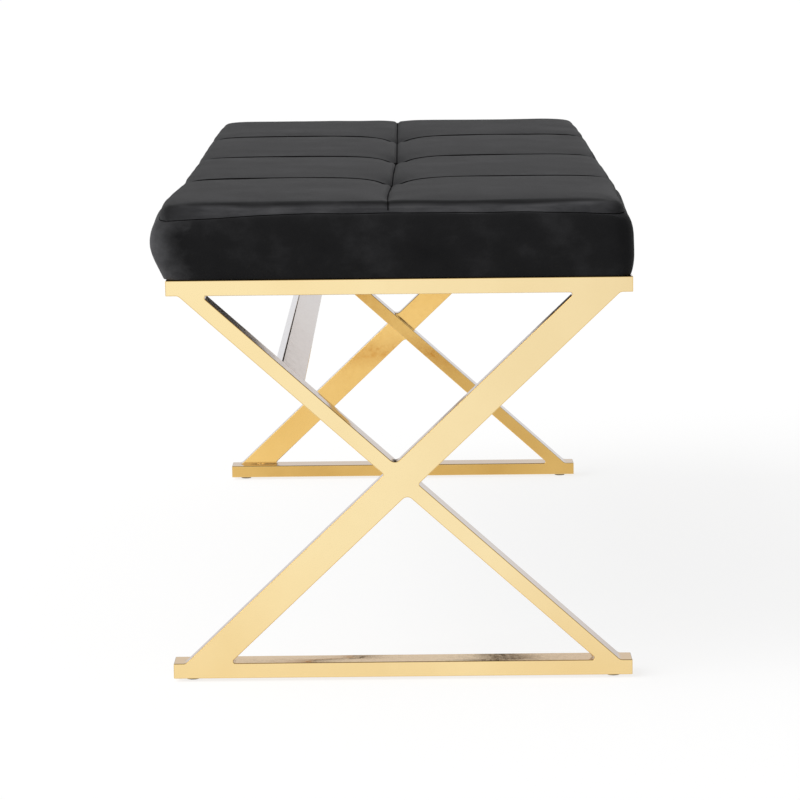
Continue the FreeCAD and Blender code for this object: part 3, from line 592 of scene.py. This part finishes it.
def ease_edges(body):
    """Round the sharp edges, and give the rounding a browner tone of painted shade."""
    shape = bmesh.new()
    shape.from_mesh(body.data)
    bmesh.ops.remove_doubles(shape, verts=shape.verts, dist=SAME_POINT)
    bmesh.ops.dissolve_limit(shape, angle_limit=FLAT_ANGLE, verts=shape.verts, edges=shape.edges)
    shape.to_mesh(body.data)
    shape.free()
    shade_smooth(body)
    paint(body, "gold_metal", "gold_edge")
    ease = body.modifiers.new("eased edges", "BEVEL")
    ease.width = EDGE_RADIUS
    ease.segments = EDGE_STEPS
    ease.limit_method = "ANGLE"
    ease.angle_limit = SHARP_ANGLE
    ease.harden_normals = True
    ease.use_clamp_overlap = False
    ease.material = 1
    applied(body)


def make_end_frame(name, end):
    """One end frame as it is finished: welded, ground flush, its edges eased and polished."""
    top_low, top_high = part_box(f"{name}_top_rail")
    foot_low, foot_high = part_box(f"{name}_bottom_rail")
    leg_low, leg_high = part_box(f"{name}_wide_leg")
    wide, thin = top_high.y - top_low.y, top_high.z - top_low.z
    outer_y = top_high.y if end > 0 else top_low.y
    middle = (leg_low.z + leg_high.z) / 2
    solids = [
        prism(f"{name}_rail", rectangle(top_high.x, low, high), outer_y, -end * wide)
        for low, high in ((top_low.z, top_high.z), (foot_low.z, foot_high.z))
    ]
    outlines = frame_outlines(leg_high.x, (leg_high.z - leg_low.z) / 2, wide, thin)
    for outline, depth in outlines:
        raised = [(point[0], point[1] + middle) for point in outline]
        solids.append(prism(f"{name}_member", raised, outer_y, -end * depth))
    body, *others = solids
    body.name = f"{name}_end_frame"
    weld(body, others)
    drill_access_holes(body, (top_low.y + top_high.y) / 2, top_low.z)
    ease_edges(body)
    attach(body, "bench")
    parts = ("top_rail", "bottom_rail", "rail_end_caps", "wide_leg", "narrow_leg", "weld_fillets")
    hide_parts(*[f"{name}_{part}" for part in parts])


# Cushion: everything here is in millimetres until the mesh is made


def smooth(value):
    value = np.clip(value, 0, 1)
    return value * value * (3 - 2 * value)


def quarter(value):
    """Rises from 0 to 1 like a quarter of a circle."""
    value = np.clip(value, 0, 1)
    return np.sqrt(1 - (1 - value) ** 2)


def early(value):
    """Rises from 0 to 1, fastest at its start."""
    return 1 - (1 - np.clip(value, 0, 1)) ** EARLY_POWER


def uneven(place):
    """Slow waves along a hand-sewn edge, between about -1 and 1."""
    return sum(height * np.sin(place / length + start) for height, length, start in EDGE_WAVES)


def seam_distance(y):
    return np.min([np.abs(y - seam) for seam in SEAMS_Y], axis=0)


def sewn_dip(distance, *hollows):
    """How far a seam draws the cover down: each hollow is a depth and a reach."""
    return sum(depth * (1 - np.clip(distance / reach, 0, 1)) ** 2 for depth, reach in hollows)


def blended(shares, *parts):
    return sum(share * part for share, part in zip(shares, parts))


def boxing_height(x, y):
    """Height of the boxing seam, which sags at the corners, most at the near left one."""
    across = np.clip((np.abs(x) - SAG_X) / (HALF_X - SAG_X), 0, 1) ** 2
    corner = across * smooth((np.abs(y) - SAG_Y) / (HALF_Y - SAG_Y))
    sag = np.where(y > 0, FAR_SAG, np.where(x < 0, NEAR_LEFT_SAG, NEAR_RIGHT_SAG))
    return BOXING_Z - sag * corner + BOXING_WAVE * (uneven(x) + uneven(y)) / 2


def edge_profile(x, y, inward):
    """Share of the top's rise from its edge: a roll, or at the ends a bead and a crease."""
    from_side = HALF_X - np.abs(x)
    from_end = HALF_Y - np.abs(y)
    nearer_end = (from_side / np.maximum(from_side + from_end, SMALLEST)) ** 2
    endwise = nearer_end * smooth(from_side / END_BLEND)
    side = blended(
        SIDE_SHARES, early(inward / SIDE_LIP), quarter(inward / SIDE_ROLL), smooth(inward / SIDE_CROWN))
    crease = smooth((inward - CREASE_START - uneven(x)) / CREASE_WIDTH)
    end = blended(END_SHARES, early(inward / BEAD_WIDTH), crease, quarter(inward / END_CROWN))
    return side + (end - side) * endwise


def seam_dip(x, y):
    """How far the seams draw the top down."""
    from_end = HALF_Y - np.abs(y)
    along = np.abs(x)
    cross_dip = sewn_dip(seam_distance(y), *CROSS_HOLLOWS) * smooth((HALF_X - along) / CROSS_FADE)
    away = np.where(y < 0, smooth((from_end - NEAR_START) / NEAR_FADE), 1)
    at_end = END_CREASE_SHARE * smooth(from_end / END_CREASE_FADE)
    long_dip = sewn_dip(along, LONG_HOLLOW) * away
    long_dip = long_dip + sewn_dip(along, LONG_CREASE) * (at_end + (1 - END_CREASE_SHARE) * away)
    return np.cbrt(cross_dip ** 3 + long_dip ** 3)


def top_height(x, y):
    """Height of the quilted top before it is blown up."""
    from_side = HALF_X - np.abs(x)
    from_end = HALF_Y - np.abs(y)
    inward = from_side + from_end - np.hypot(from_side, from_end)
    boxing = boxing_height(x, y)
    slack = np.interp(y, STOPS_Y, SLACK_HEIGHTS)
    body = boxing + (slack - boxing) * edge_profile(x, y, inward)
    reach = np.hypot(seam_distance(y) / TUFT_STRETCH, np.abs(x))
    tuft_dip = sum(depth * np.exp(-reach / fade) for depth, fade in TUFT_HOLLOWS)
    height = body - seam_dip(x, y) - tuft_dip
    return np.where(reach < TUFT_RADIUS, np.maximum(height, TUFT_Z), height)


def plan(x, y, half_x, half_y, radius):
    """A point of the nominal rectangle moved into a rounded rectangle of other half sizes."""
    x = x * half_x / HALF_X
    y = y * half_y / HALF_Y
    over_x = np.clip((np.abs(x) - (half_x - radius)) / radius, 0, 1)
    over_y = np.clip((np.abs(y) - (half_y - radius)) / radius, 0, 1)
    drawn_x = radius * over_x * (1 - np.sqrt(1 - over_y ** 2 / 2))
    drawn_y = radius * over_y * (1 - np.sqrt(1 - over_x ** 2 / 2))
    return x - np.sign(x) * drawn_x, y - np.sign(y) * drawn_y


def side_pinch(x, y):
    """Where a cross seam draws the sides in, from 0 to 1."""
    near_seam = np.clip(1 - seam_distance(y) / PINCH_REACH, 0, 1) ** 2
    return near_seam * smooth((np.abs(x) - PINCH_X) / (HALF_X - PINCH_X))


def leaning(x, y, z):
    """X with the cover's own lean: its near end and its middle seam stand a little to the left."""
    lean = -WHOLE_LEAN - NEAR_LEAN * smooth((SEAMS_Y[0] - y) / LEAN_LENGTH)
    raised = smooth((z - BOTTOM_Z) / LEAN_HEIGHT)
    lean = lean * (FOOT_LEAN_SHARE + (1 - FOOT_LEAN_SHARE) * raised)
    x = x * (1 + REAR_FLARE * smooth(y / FLARE_LENGTH) / HALF_X)
    drift = np.interp(y, STOPS_Y[:3], MIDDLE_DRIFT)
    return x + lean + drift * (1 - np.clip(np.abs(x) / HALF_X, 0, 1)) ** 2


def edge_ring(columns, rows):
    """Grid places round the top's edge, in order."""
    ring = [(i, 0) for i in range(columns - 1)]
    ring += [(columns - 1, j) for j in range(rows - 1)]
    ring += [(i, rows - 1) for i in range(columns - 1, 0, -1)]
    return ring + [(0, j) for j in range(rows - 1, 0, -1)]


def cushion_shape(xs, ys, levels):
    """Points of the top as a grid, and of the walls as rings below its edge, before the blow-up."""
    x, y = np.meshgrid(xs, ys, indexing="ij")
    pinch = side_pinch(x, y)
    drop_share = 1 - quarter((HALF_X - np.abs(x)) / PINCH_REACH)
    height = top_height(x, y) - PINCH_DROP * pinch * drop_share
    sewn = SEAM_DEPTH * ((np.abs(x) == HALF_X) | (np.abs(y) == HALF_Y))
    corner = np.where((x > 0) & (y < 0), TIGHT_RADIUS, CORNER_RADIUS)
    flat_x, flat_y = plan(x, y, HALF_X - sewn, HALF_Y - sewn, corner)
    flat_x = leaning(flat_x * (1 - SIDE_PINCH * pinch / HALF_X), flat_y, height)
    top = np.stack([flat_x, flat_y, height], axis=-1)
    ring = tuple(np.array(edge_ring(len(xs), len(ys))).T)
    walls = [top[ring]]
    for level in levels[1:]:
        share = level / levels[-1]
        fullest = share ** BULGE_SKEW
        bow = 4 * fullest * (1 - fullest)
        lip = SEAM_DEPTH * math.exp(-level / LIP_FADE)
        radius = corner[ring] * (1 - share) + FOOT_RADIUS * share + BULGE_ROUNDING * bow
        half_x, half_y = HALF_X + SIDE_BULGE * bow - lip, HALF_Y + END_BULGE * bow - lip
        wall_x, wall_y = plan(x[ring], y[ring], half_x, half_y, radius)
        wall_x = wall_x * (1 - SIDE_PINCH * pinch[ring] * (1 - share) ** PINCH_SKEW / HALF_X)
        wall_z = height[ring] * (1 - share) + BOTTOM_Z * share
        walls.append(np.stack([leaning(wall_x, wall_y, wall_z), wall_y, wall_z], axis=-1))
    return top, np.array(walls)


def cushion_object(name, top, walls):
    """One closed mesh from the top's grid and the rings of its walls, with a flat underside."""
    columns, rows = top.shape[:2]
    ring = edge_ring(columns, rows)
    size = len(ring)
    faces = [
        (i * rows + j, (i + 1) * rows + j, (i + 1) * rows + j + 1, i * rows + j + 1)
        for i in range(columns - 1)
        for j in range(rows - 1)
    ]
    foot = walls[-1]
    middle = foot.mean(axis=0)
    insets = [middle + (foot - middle) * share - (0, 0, UNDERSIDE_DROP) for share in UNDERSIDE_SHARES]
    rings = [*walls[1:], *insets]
    upper = [i * rows + j for i, j in ring]
    for turn in range(len(rings)):
        start = columns * rows + turn * size
        lower = list(range(start, start + size))
        for k in range(size):
            following = (k + 1) % size
            faces.append((upper[following], upper[k], lower[k], lower[following]))
        upper = lower
    spot = dict(zip(ring, upper))
    last = columns - 1
    for j in range(1, rows - 2):
        faces.append((spot[0, j], spot[0, j + 1], spot[last, j + 1], spot[last, j]))
    for j, inner in ((0, 1), (rows - 1, rows - 2)):
        faces.append((*[spot[i, j] for i in range(columns)], spot[last, inner], spot[0, inner]))
    points = np.concatenate([top.reshape(-1, 3), *rings])
    made = mesh_object(name, points * MM, faces)
    face_outwards(made)
    return made


def vertex_places(mesh):
    found = np.empty(len(mesh.vertices) * 3)
    mesh.vertices.foreach_get("co", found)
    return found.reshape(-1, 3)


def blown_up(xs, ys, levels):
    """How far pressure from inside moves a coarse cover whose seams and underside are held."""
    top, walls = cushion_shape(xs, ys, levels)
    cover = cushion_object("cover_under_pressure", top, walls)
    columns, rows = top.shape[:2]
    on_top, round_edge = columns * rows, walls.shape[1]
    held = np.isin(ys, SEAMS_Y)[None, :] | (xs == 0)[:, None]
    held = held | (np.abs(xs) == HALF_X)[:, None] | (np.abs(ys) == HALF_Y)[None, :]
    foot = on_top + (len(levels) - 2) * round_edge
    sewn = [int(k) for k in np.flatnonzero(held)] + list(range(foot, len(cover.data.vertices)))
    cover.vertex_groups.new(name="sewn").add(sewn, 1.0, "REPLACE")
    cloth = cover.modifiers.new("pressure", "CLOTH")
    cloth.settings.quality = SIM_QUALITY
    cloth.settings.vertex_group_mass = "sewn"
    cloth.settings.use_pressure = True
    cloth.settings.uniform_pressure_force = PRESSURE
    cloth.settings.effector_weights.gravity = 0
    cloth.collision_settings.use_collision = False
    before = vertex_places(cover.data)
    for number in range(1, SIM_FRAMES + 1):
        scene.frame_set(number)
    evaluated = cover.evaluated_get(bpy.context.evaluated_depsgraph_get())
    moved = (vertex_places(evaluated.data) - before) / MM
    drop(cover)
    scene.frame_set(1)
    moved = moved * min(1, MOST_MOVED / np.linalg.norm(moved, axis=1).max())
    top_moved = moved[:on_top].reshape(columns, rows, 3)
    wall_moved = moved[on_top:foot + round_edge].reshape(len(levels) - 1, -1, 3)
    ring = tuple(np.array(edge_ring(columns, rows)).T)
    return top_moved, np.concatenate([top_moved[ring][None], wall_moved])


def reading(new, old):
    """Weights that read values kept at old places, at new ones."""
    return np.array([np.interp(new, old, row) for row in np.eye(len(old))]).T


def ring_lengths(xs, ys):
    """Distance round the nominal edge to each of the ring's places, and once round in all."""
    ring = edge_ring(len(xs), len(ys))
    points = np.array([(xs[i], ys[j]) for i, j in [*ring, ring[0]]])
    steps = np.linalg.norm(np.diff(points, axis=0), axis=1)
    return np.concatenate([[0], np.cumsum(steps)])


def places(stops, fine, step):
    """Places between stops: at the fine distances on both sides of each, and evenly between."""
    found = []
    for start, end in zip(stops, stops[1:]):
        low, high = start + fine[-1], end - fine[-1]
        even = np.linspace(low, high, max(2, round((high - low) / step) + 1))
        found += [start, *[start + away for away in fine[:-1]], *even]
        found += [end - away for away in reversed(fine[:-1])]
    return np.array([*found, stops[-1]])


def swollen(xs, ys, levels, top, walls):
    """The top and the walls moved as pressure moves a coarser cover of the same shape."""
    coarse_xs, coarse_ys = [places(stops, (SIM_STEP,), SIM_STEP) for stops in (STOPS_X, STOPS_Y)]
    coarse_levels = np.linspace(0, levels[-1], round(levels[-1] / SIM_STEP) + 1)
    top_moved, wall_moved = blown_up(coarse_xs, coarse_ys, coarse_levels)
    across, along = reading(xs, coarse_xs), reading(ys, coarse_ys)
    top = top + np.einsum("ia,jb,abk->ijk", across, along, top_moved)
    down = reading(levels, coarse_levels)
    wall_moved = np.concatenate([wall_moved, wall_moved[:, :1]], axis=1)
    round_edge = reading(ring_lengths(xs, ys)[:-1], ring_lengths(coarse_xs, coarse_ys))
    return top, walls + np.einsum("ia,jb,abk->ijk", down, round_edge, wall_moved)


def rumple(made):
    """Slow, shallow waves over the cover, which rests flat underneath."""
    shifts = [
        vertex.normal * noise.noise(vertex.co * RUMPLE_SCALE) * RUMPLE_HEIGHT * (vertex.co.z > RUMPLE_Z)
        for vertex in made.data.vertices
    ]
    for vertex, shift in zip(made.data.vertices, shifts):
        vertex.co += shift


def tube(points, closed, radius):
    """Points and faces of a thin round tube along a line."""
    count = len(points)
    ahead = np.roll(points, -1, axis=0) - np.roll(points, 1, axis=0)
    if not closed:
        ahead[0], ahead[-1] = points[1] - points[0], points[-1] - points[-2]
    ahead /= np.linalg.norm(ahead, axis=1, keepdims=True)
    sideways = np.cross(ahead, (0, 0, 1))
    sideways /= np.linalg.norm(sideways, axis=1, keepdims=True)
    upright = np.cross(sideways, ahead)
    turns = (np.arange(SHADE_THREAD_SIDES) * 2 * math.pi / SHADE_THREAD_SIDES)[None, :, None]
    circle = np.cos(turns) * sideways[:, None] + np.sin(turns) * upright[:, None]
    skin = points[:, None] + radius * circle
    faces = []
    for k in range(count if closed else count - 1):
        start, following = k * SHADE_THREAD_SIDES, (k + 1) % count * SHADE_THREAD_SIDES
        for side in range(SHADE_THREAD_SIDES):
            beside = (side + 1) % SHADE_THREAD_SIDES
            faces.append((start + side, start + beside, following + beside, following + side))
    if not closed:
        faces.append(tuple(range(SHADE_THREAD_SIDES - 1, -1, -1)))
        faces.append(tuple(range((count - 1) * SHADE_THREAD_SIDES, count * SHADE_THREAD_SIDES)))
    return skin.reshape(-1, 3), faces


def make_shade_threads(xs, ys, top, boxing):
    """A near-black thread at the bottom of each seam, thicker than sewing thread: painted shade for the
    seam's crease.
    """
    middle = np.flatnonzero(xs == 0)[0]
    cross_rows = np.flatnonzero(np.isin(ys, SEAMS_Y))
    lines = [(top[SHADE_THREAD_RUN, row], False, *CROSS_SHADE_THREAD) for row in cross_rows]
    lines.append((top[middle, SHADE_THREAD_RUN], False, *LONG_SHADE_THREAD))
    lines.append((boxing, True, *BOXING_SHADE_THREAD))
    points, faces = [], []
    for line, closed, lift, radius in lines:
        skin, sides = tube(line + (0, 0, lift), closed, radius)
        start = sum(len(part) for part in points)
        points.append(skin)
        faces += [tuple(start + corner for corner in face) for face in sides]
    threads = mesh_object("seam_shade_threads", np.concatenate(points) * MM, faces)
    paint(threads, "seam_shade_thread")
    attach(threads, "bench")


def make_cushion():
    """The quilted cushion: blown up against its seams, then rumpled and given its threads of painted
    seam shade.
    """
    depth = BOXING_Z - BOTTOM_Z
    xs, ys = [places(stops, FINE_STEPS, FINE_STEP) for stops in (STOPS_X, STOPS_Y)]
    wall_levels = np.arange(WALL_START, depth - WALL_STEP, WALL_STEP)
    levels = np.array([*UPPER_LEVELS, *wall_levels, *[depth - rest for rest in LOWER_LEVELS]])
    top, walls = cushion_shape(xs, ys, levels)
    top, walls = swollen(xs, ys, levels, top, walls)
    cushion = cushion_object("velvet_cushion", top, walls)
    rumple(cushion)
    shade_smooth(cushion)
    finer = cushion.modifiers.new("finer", "SUBSURF")
    finer.levels = 1
    finer.render_levels = 1
    applied(cushion)
    boxing = [cushion.closest_point_on_mesh(Vector(point) * MM)[1] / MM for point in walls[0]]
    make_shade_threads(xs, ys, top, np.array(boxing))
    paint(cushion, "velvet")
    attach(cushion, "bench")
    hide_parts("velvet_cover")


# Stage


def seen_rays(tree, *kinds):
    """1 for the given kinds of ray, 0 for the light that falls on things."""
    path = tree.nodes.new("ShaderNodeLightPath")
    value = path.outputs[kinds[0]]
    for kind in kinds[1:]:
        value = maths(tree, "MAXIMUM", value, path.outputs[kind])
    return value


def make_floor():
    """A pale matt floor that also glows a little where it is seen, so that it stays white."""
    ways = ((-1, -1), (1, -1), (1, 1), (-1, 1))
    corners = [(x * FLOOR_HALF, y * FLOOR_HALF, FLOOR_Z) for x, y in ways]
    floor = mesh_object("floor", corners, [(0, 1, 2, 3)])
    made = bpy.data.materials.new("floor_white")
    made.use_nodes = True
    tree = made.node_tree
    tree.nodes.clear()
    output = tree.nodes.new("ShaderNodeOutputMaterial")
    matt = tree.nodes.new("ShaderNodeBsdfDiffuse")
    matt.inputs["Color"].default_value = FLOOR_COLOUR
    glow = tree.nodes.new("ShaderNodeEmission")
    mixed = tree.nodes.new("ShaderNodeMixShader")
    seen = product(tree, seen_rays(tree, "Is Camera Ray", "Is Glossy Ray"), FLOOR_GLOW)
    tree.links.new(seen, mixed.inputs["Fac"])
    tree.links.new(matt.outputs["BSDF"], mixed.inputs[1])
    tree.links.new(glow.outputs["Emission"], mixed.inputs[2])
    tree.links.new(mixed.outputs["Shader"], output.inputs["Surface"])
    floor.data.materials.append(made)


def make_light():
    """White surroundings that light the bench mostly from the left, and one broad lamp."""
    world = bpy.data.worlds.new("studio")
    scene.world = world
    world.use_nodes = True
    tree = world.node_tree
    background = tree.nodes["Background"]
    background.inputs["Color"].default_value = (1, 1, 1, 1)
    rays = seen_rays(tree, "Is Camera Ray", "Is Glossy Ray", "Is Transmission Ray")
    falling = spread(tree, axes_of(tree, "Generated")[0], (-1.0, 1.0), LEFT_LIGHT, RIGHT_LIGHT)
    tree.links.new(maths(tree, "MAXIMUM", falling, rays), background.inputs["Strength"])
    lamp = bpy.data.lights.new("key", "SUN")
    lamp.energy = KEY_POWER
    lamp.angle = KEY_SPREAD
    key = bpy.data.objects.new("key", lamp)
    key.rotation_euler = Vector(KEY_DIRECTION).to_track_quat("-Z", "Y").to_euler()
    scene.collection.objects.link(key)


def make_camera():
    """The photograph's own view."""
    yaw, pitch, roll = [math.radians(turn) for turn in (CAMERA_YAW, CAMERA_PITCH, CAMERA_ROLL)]
    ahead = Vector((math.sin(yaw), math.cos(yaw), 0))
    forward = ahead * math.cos(pitch) - Vector((0, 0, math.sin(pitch)))
    level = Vector((math.cos(yaw), -math.sin(yaw), 0))
    upright = level.cross(forward)
    right = level * math.cos(roll) + upright * math.sin(roll)
    up = upright * math.cos(roll) - level * math.sin(roll)
    data = bpy.data.cameras.new("photo_view")
    data.sensor_fit = "HORIZONTAL"
    data.sensor_width = CAMERA_SENSOR
    data.lens = CAMERA_LENS
    data.clip_end = CAMERA_REACH
    camera = bpy.data.objects.new("photo_view", data)
    turn = Matrix((right, up, -forward)).transposed().to_4x4()
    camera.matrix_world = Matrix.Translation(CAMERA_PLACE) @ turn
    scene.collection.objects.link(camera)
    scene.camera = camera


scene.view_settings.view_transform = "Standard"
paint_cad_nodes()
for end_name, end_sign in (("near", -1), ("far", 1)):
    make_end_frame(end_name, end_sign)
make_cushion()
make_floor()
make_light()
make_camera()

bpy.context.view_layer.update()
